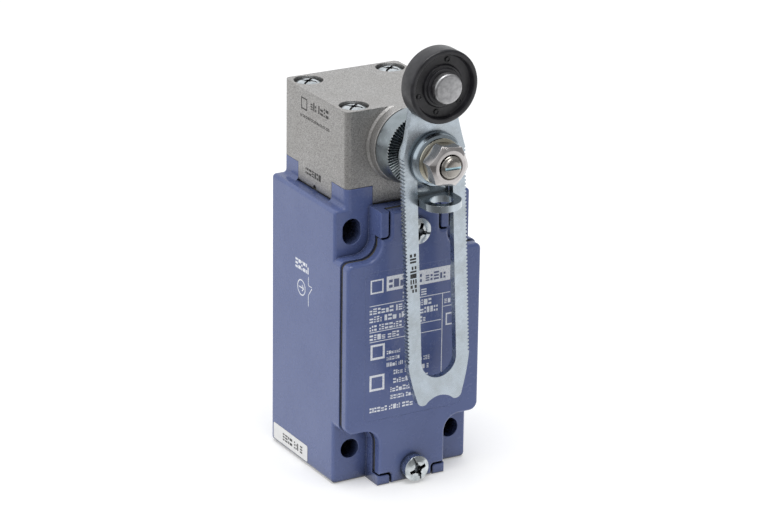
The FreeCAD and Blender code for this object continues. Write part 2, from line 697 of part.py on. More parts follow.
def contact_base():
    base = box((-16.2, 16.2), (BLOCK_FRONT, WALL_Y),
               (BLOCK_Z - BLOCK_HALF_Z, BLOCK_Z + BLOCK_HALF_Z))
    cuts = [rod_y(M35_R + THREAD_GAP, BLOCK_FRONT, -7.0, x, z) for x, z in terminal_places()]
    cuts += both_sides(lambda side: rod_y(1.55, BLOCK_FRONT, WALL_Y, side * TERMINAL_X, BLOCK_Z))
    return base.cut(cuts)


def contact_cap():
    """Box over the carrier, slotted for the contact tongues and for the stem."""
    z_low, z_high = BLOCK_Z - BLOCK_HALF_Z, BLOCK_Z + BLOCK_HALF_Z
    wall = 1.0
    cap_x = (-CAP_X, CAP_X)
    shell = box(cap_x, (CAP_FRONT, BLOCK_FRONT), (z_low, z_high))
    cuts = [box((wall - CAP_X, CAP_X - wall), (CAP_FRONT + wall, BLOCK_FRONT),
                (z_low + wall, z_high - wall)),
            rod_z(2.6, BLOCK_Z, z_high, 0, STEM_Y)]
    for low in tongue_lows():
        cuts.append(box(cap_x, (-19.8, BLOCK_FRONT), (low - FIT, low + PLATE_T + FIT)))
    return shell.cut(cuts)


def contact_carrier():
    y = (STEM_Y - CARRIER_HALF, STEM_Y + CARRIER_HALF)
    block = box((-3, 3), y, (CARRIER_FOOT, BLOCK_Z + 11))
    window = box((-3, 3), (STEM_Y - BRIDGE_HALF - FIT, STEM_Y + BRIDGE_HALF + FIT),
                 (BLOCK_Z - 2, BLOCK_Z + 6))
    rod = rod_z(2.5, BLOCK_Z + 10, FOLLOWER_FOOT - RUNNING, 0, STEM_Y)
    return fuse([block, rod]).cut(window)


def bridge(z_low, z_contact):
    """Contact strip with a rivet at each end that reaches to z_contact."""
    strip = box((-8.6, 8.6), (STEM_Y - BRIDGE_HALF, STEM_Y + BRIDGE_HALF), (z_low, z_low + 0.8))
    return fuse([strip] + both_sides(lambda side: rod_z(1.2, z_low + 0.4, z_contact,
                                                        side * 7.2, STEM_Y)))


def break_bridge():
    return bridge(BLOCK_Z + 3.6, BLOCK_Z + CONTACT_RISE - THREAD_GAP)


def make_bridge():
    return bridge(BLOCK_Z - 1.6, BLOCK_Z - CONTACT_RISE + STROKE + THREAD_GAP)


def bridge_spring():
    return coil(1.1, 0.2, BLOCK_Z - 0.8, BLOCK_Z + 3.6, 6.5)


def carrier_spring():
    return coil(1.8, 0.25, BLOCK_Z - BLOCK_HALF_Z + 1, CARRIER_FOOT, 5.5)


def fixed_contacts():
    """Four plates, each with a screw pad on the base and a tongue that reaches the bridges."""
    back, front = BLOCK_FRONT, BLOCK_FRONT - PLATE_T
    plates = []
    for side in (-1, 1):
        for screw_z, low in zip(terminal_levels(), tongue_lows()):
            pad = box((side * 10.4, side * 16.2), (front, back), (screw_z - 4, screw_z + 4))
            tongue = box((side * 5.0, side * 11.4), (-19.6, back), (low, low + PLATE_T))
            hole = rod_y(M35_R + FIT, front, back, side * TERMINAL_X, screw_z)
            plates.append(fuse([pad, tongue]).cut(hole))
    return plates


def saddle_clamp(x, z, y_back):
    plate = box((x - 2.7, x + 2.7), (y_back - CLAMP_T, y_back), (z - 2.9, z + 2.9))
    return plate.cut(rod_y(M35_R + FIT, y_back - CLAMP_T, y_back, x, z))


def terminal_clamps():
    return [saddle_clamp(x, z, BLOCK_FRONT - PLATE_T) for x, z in terminal_places()]


def terminal_screws():
    seat = BLOCK_FRONT - PLATE_T - CLAMP_T
    return [front_screw(x, z, seat, 2.6, 2.2, M35_R, -7.6) for x, z in terminal_places()]


def block_screws():
    return both_sides(lambda side: front_screw(side * TERMINAL_X, BLOCK_Z, BLOCK_FRONT,
                                               2.4, 2.0, 1.5, -1.8))


def earth_clamp():
    return saddle_clamp(EARTH_X, EARTH_Z, EARTH_Y)


def earth_screw():
    return front_screw(EARTH_X, EARTH_Z, EARTH_Y - CLAMP_T, 2.8, 2.2, M35_R, -4.0)


# ---- Output -------------------------------------------------------------------------------------------

PARTS = [body_casing, front_cover, cover_gasket, cover_screws, side_label,
         head_casing, head_gasket, head_screws, shaft_bush, shaft_seal,
         shaft, serrated_hub, lever_bracket, dish_washer, cone_washer, clamp_nut,
         drive_cam, cam_pin, retaining_ring,
         lever_plate, roller_axle, roller_washer, roller,
         cam_follower, follower_guide, return_spring,
         contact_base, contact_cap, contact_carrier, break_bridge, make_bridge,
         bridge_spring, carrier_spring, fixed_contacts, terminal_clamps, terminal_screws,
         block_screws, earth_clamp, earth_screw]


def main():
    os.makedirs("parts", exist_ok=True)
    for make in PARTS:
        shape = make()
        if isinstance(shape, list):
            shape = Part.Compound(shape)
        shape.exportStep(f"parts/{make.__name__}.step")
        print(make.__name__, len(shape.Solids), shape.isValid(), round(shape.Volume, 1))


main()
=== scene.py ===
import json
import math
import random

import bmesh
import bpy
from mathutils import Matrix, Vector


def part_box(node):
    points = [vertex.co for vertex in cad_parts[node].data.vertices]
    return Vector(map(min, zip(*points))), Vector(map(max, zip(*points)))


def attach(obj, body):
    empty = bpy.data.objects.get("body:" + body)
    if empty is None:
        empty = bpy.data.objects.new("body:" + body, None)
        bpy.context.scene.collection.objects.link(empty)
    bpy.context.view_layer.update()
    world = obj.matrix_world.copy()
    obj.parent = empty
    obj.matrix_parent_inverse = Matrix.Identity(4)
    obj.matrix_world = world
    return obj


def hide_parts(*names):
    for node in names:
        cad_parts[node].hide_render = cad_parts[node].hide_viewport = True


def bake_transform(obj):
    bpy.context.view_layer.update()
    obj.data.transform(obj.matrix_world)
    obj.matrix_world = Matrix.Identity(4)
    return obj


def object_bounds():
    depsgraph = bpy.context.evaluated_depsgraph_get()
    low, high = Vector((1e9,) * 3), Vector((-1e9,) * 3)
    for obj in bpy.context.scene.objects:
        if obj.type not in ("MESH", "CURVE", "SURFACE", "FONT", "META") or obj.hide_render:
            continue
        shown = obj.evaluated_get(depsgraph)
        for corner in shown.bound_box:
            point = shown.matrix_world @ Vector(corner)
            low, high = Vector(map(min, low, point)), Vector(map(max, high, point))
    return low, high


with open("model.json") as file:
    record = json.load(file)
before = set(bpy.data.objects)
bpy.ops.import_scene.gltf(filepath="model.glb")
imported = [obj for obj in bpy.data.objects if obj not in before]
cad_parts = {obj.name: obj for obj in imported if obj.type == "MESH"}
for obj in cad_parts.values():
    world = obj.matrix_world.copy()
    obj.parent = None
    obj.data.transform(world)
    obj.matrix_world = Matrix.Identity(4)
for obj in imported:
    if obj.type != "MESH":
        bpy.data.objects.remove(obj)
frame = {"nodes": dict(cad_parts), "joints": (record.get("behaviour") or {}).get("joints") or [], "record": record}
cad_low, cad_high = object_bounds()
MM = 0.001
JOINTS = {joint["name"]: joint for joint in frame["joints"]}
SHAFT = Vector(JOINTS["shaft_turn"]["pos_m"])
ROLLER = Vector(JOINTS["roller_spin"]["pos_m"])
LEVER_UP = Vector(JOINTS["lever_extension"]["axis"]).normalized()
LEVER_RIGHT = Vector((LEVER_UP.z, 0, -LEVER_UP.x))
STUD_R = 3.0 * MM

# ---- Materials ---------------------------------------------------------------------------


def smooth_step(tree, source, low, high, to_low, to_high):
    """A value that goes from to_low to to_high as the source goes from low to high."""
    node = tree.nodes.new("ShaderNodeMapRange")
    node.interpolation_type = "SMOOTHSTEP"
    values = (("From Min", low), ("From Max", high), ("To Min", to_low), ("To Max", to_high))
    for name, value in values:
        node.inputs[name].default_value = value
    tree.links.new(source, node.inputs["Value"])
    return node.outputs["Result"]


class Nodes:
    """A new material's node tree, with short calls for the nodes that the materials share."""

    def __init__(self, name):
        self.material = bpy.data.materials.new(name)
        self.material.use_nodes = True
        self.tree = self.material.node_tree
        self.shader = self.tree.nodes["Principled BSDF"]
        self.place = self.tree.nodes.new("ShaderNodeTexCoord").outputs["Object"]

    def add(self, kind, **values):
        node = self.tree.nodes.new(kind)
        for key, value in values.items():
            setattr(node, key, value)
        return node

    def link(self, source, target):
        self.tree.links.new(source, target)

    def put(self, **values):
        """Sets inputs of the main shader; an underscore in a name stands for a space."""
        for key, value in values.items():
            self.shader.inputs[key.replace("_", " ")].default_value = value

    def noise(self, size, detail=3.0, rough=0.55):
        """Noise whose lumps are about size metres across, from 0 to 1."""
        node = self.add("ShaderNodeTexNoise")
        node.inputs["Scale"].default_value = 1.0 / size
        node.inputs["Detail"].default_value = detail
        node.inputs["Roughness"].default_value = rough
        self.link(self.place, node.inputs["Vector"])
        return node.outputs["Fac"]

    def ramp(self, source, stops):
        """Colours or greys between the stops, which are (position, colour)."""
        node = self.add("ShaderNodeValToRGB")
        band = node.color_ramp
        while len(band.elements) < len(stops):
            band.elements.new(0.5)
        for element, (position, colour) in zip(band.elements, stops):
            element.position = position
            grey = isinstance(colour, (int, float))
            element.color = (colour, colour, colour, 1) if grey else (*colour, 1)
        self.link(source, node.inputs["Fac"])
        return node.outputs["Color"]

    def fill(self, *pairs):
        """Feeds each (value, socket) pair; a value is a colour, a number or another output."""
        for value, socket in pairs:
            if isinstance(value, bpy.types.NodeSocket):
                self.link(value, socket)
            elif isinstance(value, tuple):
                socket.default_value = (*value, 1)
            else:
                socket.default_value = value

    def mix(self, factor, low, high, blend="MIX"):
        node = self.add("ShaderNodeMix", data_type="RGBA", blend_type=blend)
        self.fill((factor, node.inputs[0]), (low, node.inputs[6]), (high, node.inputs[7]))
        return node.outputs[2]

    def calculate(self, operation, a, b):
        node = self.add("ShaderNodeMath", operation=operation)
        self.fill((a, node.inputs[0]), (b, node.inputs[1]))
        return node.outputs[0]

    def multiply(self, colour, shade_of_grey):
        return self.mix(1.0, colour, shade_of_grey, "MULTIPLY")

    def along(self, direction):
        """How far a point lies along a direction, in the unit of the direction's length."""
        node = self.add("ShaderNodeVectorMath", operation="DOT_PRODUCT")
        self.link(self.place, node.inputs[0])
        node.inputs[1].default_value = direction
        return node.outputs["Value"]

    def edges(self, radius):
        """Normals rounded off at sharp edges."""
        node = self.add("ShaderNodeBevel", samples=6)
        node.inputs["Radius"].default_value = radius
        return node.outputs["Normal"]

    def edge_highlight(self, colour, radius, share, bright):
        """The colour with a painted highlight along its sharp edges, towards bright by a share of up to 1."""
        agreement = self.add("ShaderNodeVectorMath", operation="DOT_PRODUCT")
        self.link(self.edges(radius), agreement.inputs[0])
        self.link(self.add("ShaderNodeNewGeometry").outputs["Normal"], agreement.inputs[1])
        edge = self.ramp(agreement.outputs["Value"], ((0.86, 1.0), (0.97, 0.0)))
        return self.mix(self.calculate("MULTIPLY", edge, share), colour, bright)

    def bumps(self, *layers, normal=None):
        """Stacks (height, depth in metres) layers and ends in the main shader."""
        for height, depth in layers:
            node = self.add("ShaderNodeBump")
            node.inputs["Strength"].default_value = 1.0
            node.inputs["Distance"].default_value = depth
            self.link(height, node.inputs["Height"])
            if normal is not None:
                self.link(normal, node.inputs["Normal"])
            normal = node.outputs["Normal"]
        self.link(normal, self.shader.inputs["Normal"])

    def painted_shade(self, distance, low, span=(0.25, 0.9)):
        """Painted shade: darkening in corners and under edges, from low to 1."""
        node = self.add("ShaderNodeAmbientOcclusion", samples=6, only_local=False)
        node.inputs["Distance"].default_value = distance
        return self.ramp(node.outputs["AO"], ((span[0], low), (span[1], 1.0)))


# Colours of the painted highlight along sharp edges, for paint, casting and plate.
PAINT_EDGE_HIGHLIGHT = (0.30, 0.36, 0.64)
CASTING_EDGE_HIGHLIGHT = (0.75, 0.73, 0.70)
PLATE_EDGE_HIGHLIGHT = (0.92, 0.93, 0.94)


def casing_paint(name):
    """Glossy blue paint with orange peel, a shade paler in clouds, painted shade in corners."""
    m = Nodes(name)
    cloud = m.ramp(m.noise(14 * MM, 2), ((0.3, 0.0), (0.7, 1.0)))
    colour = m.mix(cloud, (0.088, 0.119, 0.270), (0.103, 0.136, 0.293))
    # Painted shade in corners and under edges: a shallow layer, then a deep one.
    colour = m.multiply(colour, m.painted_shade(1.2 * MM, 0.5))
    colour = m.multiply(colour, m.painted_shade(7.0 * MM, 0.05, (0.18, 0.62)))
    # Painted highlight along sharp edges.
    colour = m.edge_highlight(colour, 0.18 * MM, 0.6, PAINT_EDGE_HIGHLIGHT)
    m.link(colour, m.shader.inputs["Base Color"])
    m.link(m.ramp(m.noise(1.6 * MM, 3), ((0.3, 0.20), (0.75, 0.32))),
           m.shader.inputs["Roughness"])
    m.put(Specular_IOR_Level=0.42)
    m.bumps((m.noise(1.1 * MM, 2), 0.012 * MM), normal=m.edges(0.2 * MM))
    return m.material


def cast_zinc(name):
    """Tumbled zinc casting: a fine dark speckle over a dull metal."""
    m = Nodes(name)
    grain = m.noise(0.24 * MM, 2, 0.7)
    cloud = m.noise(9 * MM, 3)
    colour = m.mix(m.ramp(grain, ((0.34, 0.0), (0.64, 1.0))), (0.25, 0.243, 0.238),
                   (0.56, 0.55, 0.54))
    colour = m.mix(m.ramp(cloud, ((0.35, 0.0), (0.7, 0.2))), colour, (0.28, 0.265, 0.24))
    # Painted shade in corners and under edges.
    colour = m.multiply(colour, m.painted_shade(2.0 * MM, 0.45))
    # Painted highlight along sharp edges.
    colour = m.edge_highlight(colour, 0.2 * MM, 0.5, CASTING_EDGE_HIGHLIGHT)
    m.link(colour, m.shader.inputs["Base Color"])
    m.link(m.ramp(grain, ((0.3, 0.56), (0.7, 0.38))), m.shader.inputs["Roughness"])
    m.put(Metallic=0.78)
    m.bumps((m.noise(0.32 * MM, 3, 0.7), 0.03 * MM), normal=m.edges(0.28 * MM))
    return m.material


def plated_steel(name, colour, stain, rough=0.32, edge=0.08 * MM, scale=5 * MM, corner_shade=0.35):
    """Zinc plate: a faint stain in large clouds over a finely uneven metal surface.
    edge is how far sharp edges look rounded, with a painted highlight; the last argument sets the painted shade in
    corners."""
    m = Nodes(name)
    cloud = m.ramp(m.noise(scale, 4), ((0.38, 0.0), (0.66, 1.0)))
    base = m.mix(cloud, colour, stain)
    # Painted shade in corners and under edges.
    base = m.multiply(base, m.painted_shade(2.0 * MM, corner_shade, (0.2, 0.8)))
    # Painted highlight along sharp edges.
    base = m.edge_highlight(base, edge, 0.6, PLATE_EDGE_HIGHLIGHT)
    m.link(base, m.shader.inputs["Base Color"])
    m.link(m.ramp(m.noise(1.1 * MM, 4), ((0.3, rough - 0.07), (0.7, rough + 0.09))),
           m.shader.inputs["Roughness"])
    m.put(Metallic=1.0)
    m.bumps((m.noise(0.35 * MM, 3), 0.004 * MM), normal=m.edges(edge))
    return m.material


def plastic(name, colour, worn, rough=0.42):
    """Moulded plastic or rubber with slightly worn clouds and a fine skin."""
    m = Nodes(name)
    cloud = m.ramp(m.noise(2.5 * MM, 4), ((0.35, 0.0), (0.75, 1.0)))
    m.link(m.mix(cloud, colour, worn), m.shader.inputs["Base Color"])
    m.link(m.ramp(m.noise(0.7 * MM, 3), ((0.3, rough - 0.06), (0.7, rough + 0.08))),
           m.shader.inputs["Roughness"])
    m.bumps((m.noise(0.25 * MM, 2), 0.005 * MM), normal=m.edges(0.1 * MM))
    return m.material


def print_ink(name, colour, bare, cover=0.62):
    """Pad-printed ink, with the surface below showing where it is thin.
    cover is how much of it is thick."""
    m = Nodes(name)
    thin = m.ramp(m.noise(0.3 * MM, 3, 0.6), ((cover - 0.1, 0.0), (cover + 0.12, 1.0)))
    m.link(m.mix(thin, colour, bare), m.shader.inputs["Base Color"])
    m.put(Roughness=0.5)
    m.bumps((m.noise(0.2 * MM, 2), 0.003 * MM))
    return m.material


SLOT_MATERIALS = {
    "casing_paint": casing_paint("casing_paint"),
    "head_zinc": cast_zinc("head_zinc"),
    "seal_rubber": plastic("seal_rubber", (0.050, 0.046, 0.036), (0.10, 0.092, 0.072), 0.6),
    "screw_steel": plated_steel("screw_steel", (0.66, 0.70, 0.73), (0.42, 0.46, 0.48), 0.24,
                                scale=1.6 * MM),
    "label_film": plastic("label_film", (0.78, 0.78, 0.77), (0.70, 0.70, 0.70), 0.4),
    "hub_zinc": plated_steel("hub_zinc", (0.36, 0.40, 0.43), (0.28, 0.32, 0.335), 0.3),
    "turned_steel": plated_steel("turned_steel", (0.44, 0.42, 0.39), (0.34, 0.32, 0.295), 0.24),
    "lever_zinc": plated_steel("lever_zinc", (0.54, 0.61, 0.68), (0.46, 0.51, 0.55), 0.27),
    "nut_steel": plated_steel("nut_steel", (0.60, 0.575, 0.57), (0.48, 0.455, 0.45), 0.17,
                              edge=0.12 * MM),
    "roller_plastic": plastic("roller_plastic", (0.013, 0.013, 0.016), (0.032, 0.031, 0.036),
                              0.34),
    "bush_bronze": plated_steel("bush_bronze", (0.55, 0.38, 0.2), (0.45, 0.30, 0.16), 0.5),
    "cam_steel": plated_steel("cam_steel", (0.4, 0.4, 0.4), (0.32, 0.32, 0.32), 0.45),
    "white_plastic": plastic("white_plastic", (0.78, 0.76, 0.70), (0.70, 0.68, 0.62)),
    "spring_steel": plated_steel("spring_steel", (0.55, 0.55, 0.55), (0.45, 0.45, 0.45)),
    "block_plastic": plastic("block_plastic", (0.03, 0.03, 0.032), (0.05, 0.05, 0.052)),
    "cap_plastic": plastic("cap_plastic", (0.12, 0.12, 0.13), (0.15, 0.15, 0.16)),
    "contact_brass": plated_steel("contact_brass", (0.75, 0.56, 0.26), (0.62, 0.45, 0.2)),
    "clamp_steel": plated_steel("clamp_steel", (0.66, 0.67, 0.68), (0.55, 0.56, 0.56)),
}
AXLE_STEEL = plated_steel("axle_steel", (0.52, 0.52, 0.53), (0.36, 0.36, 0.37), 0.42,
                          scale=1.2 * MM)
DISH_ZINC = plated_steel("dish_zinc", (0.48, 0.56, 0.63), (0.40, 0.46, 0.50), 0.24, corner_shade=0.3)
CONE_ZINC = plated_steel("cone_zinc", (0.58, 0.56, 0.48), (0.50, 0.47, 0.36), 0.28, corner_shade=0.2)
# The lever's zinc, darker and with deep painted shade in corners, for the bracket that lies in shade.
SHADED_BRACKET_ZINC = plated_steel("shaded_bracket_zinc", (0.50, 0.56, 0.62), (0.40, 0.45, 0.48), 0.18,
                            corner_shade=0.05)
SLOT_ZINC = plated_steel("slot_zinc", (0.45, 0.66, 0.74), (0.38, 0.55, 0.62), 0.3, corner_shade=0.3)
# Screw steel darkened as painted shade, for the inside of the screws' crosses and slots.
SHADED_RECESS_STEEL = plated_steel("shaded_recess_steel", (0.26, 0.29, 0.32), (0.10, 0.115, 0.13), 0.3,
                            scale=0.8 * MM, corner_shade=0.3)
PALE_INK = print_ink("pale_ink", (0.80, 0.82, 0.86), (0.30, 0.34, 0.50))
TITLE_INK = print_ink("title_ink", (0.10, 0.125, 0.24), (0.16, 0.19, 0.30), 0.7)
DARK_INK = print_ink("dark_ink", (0.012, 0.012, 0.012), (0.10, 0.10, 0.11))
# Dark marks for the head's engraved marks.
ENGRAVING_DARK = print_ink("engraving_dark", (0.022, 0.021, 0.02), (0.09, 0.085, 0.08), 0.6)


def dress_cad_nodes():
    """Every CAD node gets the material of its slot; the bracket a darker one with deep painted shade."""
    for part in frame["record"]["subparts"]:
        mesh = frame["nodes"][part["node"]].data
        mesh.materials.clear()
        mesh.materials.append(SLOT_MATERIALS[part["material_slot"]])
    frame["nodes"]["lever_bracket"].data.materials[0] = SHADED_BRACKET_ZINC


# ---- Mesh helpers ------------------------------------------------------------------------


def on_lever(a, depth, b):
    """The point that is a across, b along the lever from the shaft axis, at y = depth."""
    return Vector((SHAFT.x, depth, SHAFT.z)) + LEVER_RIGHT * a + LEVER_UP * b


def rounded_loop(corners, steps=5):
    """Closed outline through (a, b, fillet) corners, each fillet an arc of a few points."""
    outline = []
    count = len(corners)
    for i, (a, b, fillet) in enumerate(corners):
        here = Vector((a, b))
        before = Vector(corners[i - 1][:2]) - here
        after = Vector(corners[(i + 1) % count][:2]) - here
        if fillet <= 0:
            outline.append(here)
            continue
        half = before.angle(after) / 2
        reach = min(fillet / math.tan(half), 0.49 * before.length, 0.49 * after.length)
        u, v = before.normalized(), after.normalized()
        centre = here + (u + v).normalized() * (reach / math.cos(half))
        start, stop = here + u * reach - centre, here + v * reach - centre
        sweep = start.angle_signed(stop)
        for k in range(steps + 1):
            swing = -sweep * k / steps
            outline.append(centre + Matrix.Rotation(swing, 2) @ start)
    return outline


def shade(data, flat_over=35):
    """Smooth faces with hard edges where they meet at more than flat_over degrees."""
    data.polygons.foreach_set("use_smooth", [True] * len(data.polygons))
    data.set_sharp_from_angle(angle=math.radians(flat_over))


def make_piece(name, mesh, body, slot, material=None, stands_for=None, flat_over=35):
    """Turns a bmesh into a shaded piece that rides on its body."""
    bmesh.ops.remove_doubles(mesh, verts=mesh.verts, dist=1e-7)
    bmesh.ops.recalc_face_normals(mesh, faces=mesh.faces)
    data = bpy.data.meshes.new(name)
    mesh.to_mesh(data)
    mesh.free()
    data.materials.append(material or SLOT_MATERIALS[slot])
    shade(data, flat_over)
    piece = bpy.data.objects.new(name, data)
    bpy.context.scene.collection.objects.link(piece)
    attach(piece, body)
    if stands_for:
        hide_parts(stands_for)
    return piece


def join_rings(mesh, rings):
    """Faces from each ring of points to the next, and from the last to the first."""
    for one, two in zip(rings, rings[1:] + rings[:1]):
        for i in range(len(one)):
            mesh.faces.new((one[i - 1], one[i], two[i], two[i - 1]))


def add_turned(mesh, centre, loop_at, steps=128, start=0.0):
    """Revolves a closed (radius, y) loop about the y axis through centre.
    loop_at gives the loop at an angle, measured from the lever's right towards its top."""
    rings = []
    for k in range(steps):
        angle = start + 2 * math.pi * k / steps
        outward = LEVER_RIGHT * math.cos(angle) + LEVER_UP * math.sin(angle)
        ring = []
        for radius, y in loop_at(angle):
            ring.append(mesh.verts.new(Vector((centre.x, y, centre.z)) + outward * radius))
        rings.append(ring)
    join_rings(mesh, rings)


def turned(centre, corners, steps=128):
    """A ring-shaped mesh turned from (radius, y, fillet) corners."""
    loop = rounded_loop(corners)
    mesh = bmesh.new()
    add_turned(mesh, centre, lambda angle: loop, steps)
    return mesh


def add_prism(mesh, outline, place, low, high):
    """Extrudes a closed outline from low to high; place(a, b, height) gives each point."""
    floor = [mesh.verts.new(place(a, b, low)) for a, b in outline]
    roof = [mesh.verts.new(place(a, b, high)) for a, b in outline]
    mesh.faces.new(floor)
    mesh.faces.new(roof)
    for i in range(len(outline)):
        mesh.faces.new((floor[i - 1], floor[i], roof[i], roof[i - 1]))


def combine(piece, tool, operation="DIFFERENCE", flat_over=35, material=None):
    """Cuts a bmesh from the piece, or joins it on, and bakes the result.
    material is for the faces that the tool leaves, unless they look like the rest."""
    bmesh.ops.recalc_face_normals(tool, faces=tool.faces)
    data = bpy.data.meshes.new("tool")
    tool.to_mesh(data)
    tool.free()
    data.materials.append(material or piece.data.materials[0])
    cutter = bpy.data.objects.new("tool", data)
    bpy.context.scene.collection.objects.link(cutter)
    modifier = piece.modifiers.new("combine", "BOOLEAN")
    modifier.operation = operation
    modifier.solver = "EXACT"
    modifier.use_self = True
    modifier.material_mode = "TRANSFER"
    modifier.object = cutter
    graph = bpy.context.evaluated_depsgraph_get()
    baked = bpy.data.meshes.new_from_object(piece.evaluated_get(graph))
    piece.modifiers.clear()
    piece.data = baked
    bpy.data.objects.remove(cutter)
    shade(baked, flat_over)


# ---- Roller ------------------------------------------------------------------------------


def build_roller():
    """Moulded roller with a raised rim, a collar round the axle and four ringed dimples."""
    low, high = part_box("roller")
    front, back, rim = low.y, high.y, (high.x - low.x) / 2 / MM
    web = front + 1.6 * MM
    tray = back - 0.8 * MM
    corners = ((2.55, back, 0.1), (5.0, back, 0.2), (5.2, tray, 0.3), (7.6, tray, 0.3),
               (7.9, back, 0.2), (rim, back, 0.5), (rim, front, 0.65),
               (rim - 1.25, front, 0.25), (rim - 1.6, web, 0.4), (5.6, web, 0.3),
               (5.35, front + 0.9 * MM, 0.2), (4.8, front + 0.85 * MM, 0.1),
               (4.7, front + 0.05 * MM, 0.15), (2.55, front + 0.05 * MM, 0.1))
    scaled = [(a * MM, y, fillet * MM) for a, y, fillet in corners]
    piece = make_piece("moulded_roller", turned(ROLLER, scaled, 160), "roller",
                       "roller_plastic", stands_for="roller")
    marks = bmesh.new()
    reach = 6.75 * MM
    ring, dimple = 0.72 * MM, 0.42 * MM
    root, crest, pit = web + 0.6 * MM, web - 0.35 * MM, web - 0.1 * MM
    corners = ((0, root, 0), (ring, root, 0), (ring, crest, 0.1 * MM),
               (dimple, crest, 0.08 * MM), (dimple, pit, 0), (0, pit, 0))
    loop = rounded_loop(corners, 3)
    for degrees in (75, 195, 255, 315):
        outward = Matrix.Rotation(math.radians(-degrees), 3, "Y") @ LEVER_RIGHT
        add_turned(marks, ROLLER + outward * reach, lambda angle: loop, 32)
    bmesh.ops.remove_doubles(marks, verts=marks.verts, dist=1e-7)
    combine(piece, marks, "UNION")


def build_axle():
    """Headed pin, riveted over behind the lever."""
    low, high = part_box("roller_axle")
    lever_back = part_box("lever_plate")[1].y
    roller_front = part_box("roller")[0].y
    front, back, head = low.y, high.y, (high.x - low.x) / 2
    seat = roller_front - 0.05 * MM
    pin_r, rivet_r = 2.5 * MM, 3.55 * MM
    corners = ((0, front, 0), (head, front, 0.7 * MM), (head, seat, 0.1 * MM),
               (pin_r, seat, 0), (pin_r, lever_back, 0), (rivet_r, lever_back, 0.1 * MM),
               (3.3 * MM, back, 0.5 * MM), (0, back, 0))
    make_piece("riveted_axle", turned(ROLLER, corners), "lever", "turned_steel", AXLE_STEEL,
               "roller_axle")


# ---- Clamp stack on the stud ---------------------------------------------------------------


def build_nut():
    """M6 nut, 10 mm across its flats, with chamfered corners and a round contact face."""
    low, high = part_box("clamp_nut")
    front, back = low.y, high.y
    flats, face, bore = 10.0 * MM, 4.3 * MM, STUD_R + 0.02 * MM
    slope = math.tan(math.radians(34))
    first_corner = math.radians(-12)
    round_off = 0.06 * MM
    back_face = 1.15 * face
    sink = 0.28 * MM

    def loop_at(angle):
        off = (angle - first_corner) % (math.pi / 3) - math.pi / 6
        side = flats / 2 / math.cos(off)
        front_edge = front + max(0.0, side - face) * slope + round_off
        back_edge = back - max(0.0, side - back_face) * slope - round_off
        return [(bore, back), (back_face, back), (side - round_off, back_edge + round_off),
                (side, back_edge - round_off), (side, front_edge + round_off),
                (side - 0.3 * round_off, front_edge + 0.3 * round_off),
                (side - round_off, front_edge - 0.6 * round_off * slope),
                (face, front + 0.02 * MM), (face - 0.15 * MM, front),
                (bore + sink + 0.08 * MM, front), (bore + sink, front + 0.05 * MM),
                (bore, front + sink)]

    mesh = bmesh.new()
    add_turned(mesh, SHAFT, loop_at, 144, first_corner)
    make_piece("hexagon_nut", mesh, "shaft_assembly", "nut_steel", stands_for="clamp_nut",
               flat_over=22)


def build_shaft():
    """The whole shaft, with the thread of its stud, the ring's groove and the slotted end."""
    low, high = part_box("shaft")
    front, back = low.y, high.y
    ring_low, ring_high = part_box("retaining_ring")
    seat_back = -10.5 * MM     # where the shaft narrows behind its bearing
    hub_low, hub_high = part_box("serrated_hub")
    pitch, sink = 1.0 * MM, 0.3 * MM
    thread_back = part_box("lever_bracket")[0].y + 8 * MM
    chamfer = 0.95 * MM
    rows = 72

    def stud(angle):
        points = [(0, front), (STUD_R - chamfer - 0.35 * MM, front + 0.03 * MM),
                  (STUD_R - chamfer, front + 0.16 * MM)]
        for k in range(1, rows + 1):
            y = front + 0.2 * MM + (thread_back - front) * k / rows
            phase = (y / pitch + angle / (2 * math.pi)) % 1.0
            crest = min(STUD_R, STUD_R - chamfer + (y - front))
            points.append((crest - sink * min(1.0, 1.4 * abs(2 * phase - 1)), y))
        return points

    def loop_at(angle):
        plain = [(4.0 * MM, hub_low.y - 0.6 * MM), (4.0 * MM, hub_high.y), (5.0 * MM, hub_high.y),
                 (5.0 * MM, ring_low.y - 0.05 * MM), (4.4 * MM, ring_low.y - 0.05 * MM),
                 (4.4 * MM, ring_high.y), (4.0 * MM, ring_high.y), (4.0 * MM, seat_back),
                 (STUD_R, seat_back), (STUD_R, back - 0.3 * MM), (STUD_R - 0.3 * MM, back),
                 (0, back)]
        return stud(angle) + [(STUD_R - sink, hub_low.y - 0.6 * MM)] + plain

    mesh = bmesh.new()
    add_turned(mesh, SHAFT, loop_at, 96)
    piece = make_piece("slotted_shaft", mesh, "shaft_assembly", "turned_steel",
                       stands_for="shaft", flat_over=40)
    tool = bmesh.new()
    half, depth = 0.36 * MM, 0.38 * MM
    slot = [(-5 * MM, -half), (5 * MM, -half), (5 * MM, half), (-5 * MM, half)]
    tilt = Matrix.Rotation(math.radians(4), 3, "Y")

    def place(a, b, y):
        return on_lever(0, y, 0) + tilt @ (LEVER_RIGHT * a + LEVER_UP * b)

    add_prism(tool, slot, place, front - 1 * MM, front + depth)
    pin_low, pin_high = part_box("cam_pin")
    pin_y = (pin_low.y + pin_high.y) / 2
    circle = [(math.cos(k * math.pi / 12) * 1.0 * MM, math.sin(k * math.pi / 12) * 1.0 * MM)
              for k in range(24)]
    add_prism(tool, circle, lambda a, b, h: on_lever(h, pin_y + a, b), -8 * MM, 8 * MM)
    combine(piece, tool, flat_over=40, material=SLOT_ZINC)


